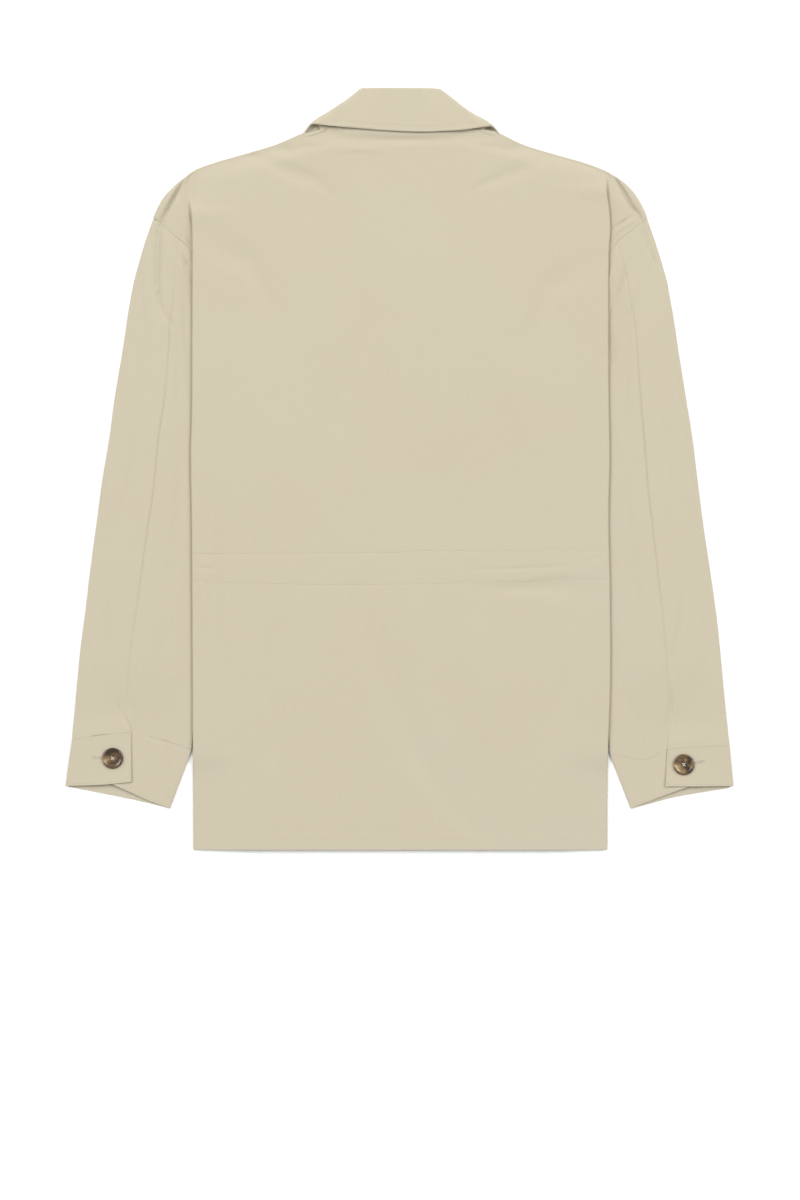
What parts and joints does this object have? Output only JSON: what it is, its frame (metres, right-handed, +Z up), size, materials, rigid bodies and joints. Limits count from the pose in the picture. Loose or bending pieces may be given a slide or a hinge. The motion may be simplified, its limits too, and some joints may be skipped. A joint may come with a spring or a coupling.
{
  "type": "safari jacket",
  "caption": "Plain cotton safari jacket laid face down and flat, back up, with dropped shoulders, a turned-down collar and buttoned cuffs.",
  "frame": {"origin": "on the surface that the jacket lies on, under the middle of its bounding box", "axes": "+Y from hem to collar, +X across the back from the wearer's left sleeve to the right sleeve, +Z up from the surface through the back"},
  "size_m": [0.6684, 0.7616, 0.0091],
  "materials": {
    "twill": "matte beige cotton twill",
    "horn": "polished mottled brown horn"
  },
  "bodies": {
    "root": {"back": "twill", "front_left": "twill", "front_right": "twill", "sleeve_top_left": "twill", "sleeve_top_right": "twill", "sleeve_under_left": "twill", "sleeve_under_right": "twill", "cuff_left": "twill", "cuff_right": "twill", "collar_stand": "twill", "collar_fall": "twill", "cuff_button_left": "horn", "cuff_button_right": "horn", "front_button_1": "horn", "front_button_2": "horn", "front_button_3": "horn", "front_button_4": "horn", "front_button_5": "horn"}
  },
  "joints": []
}
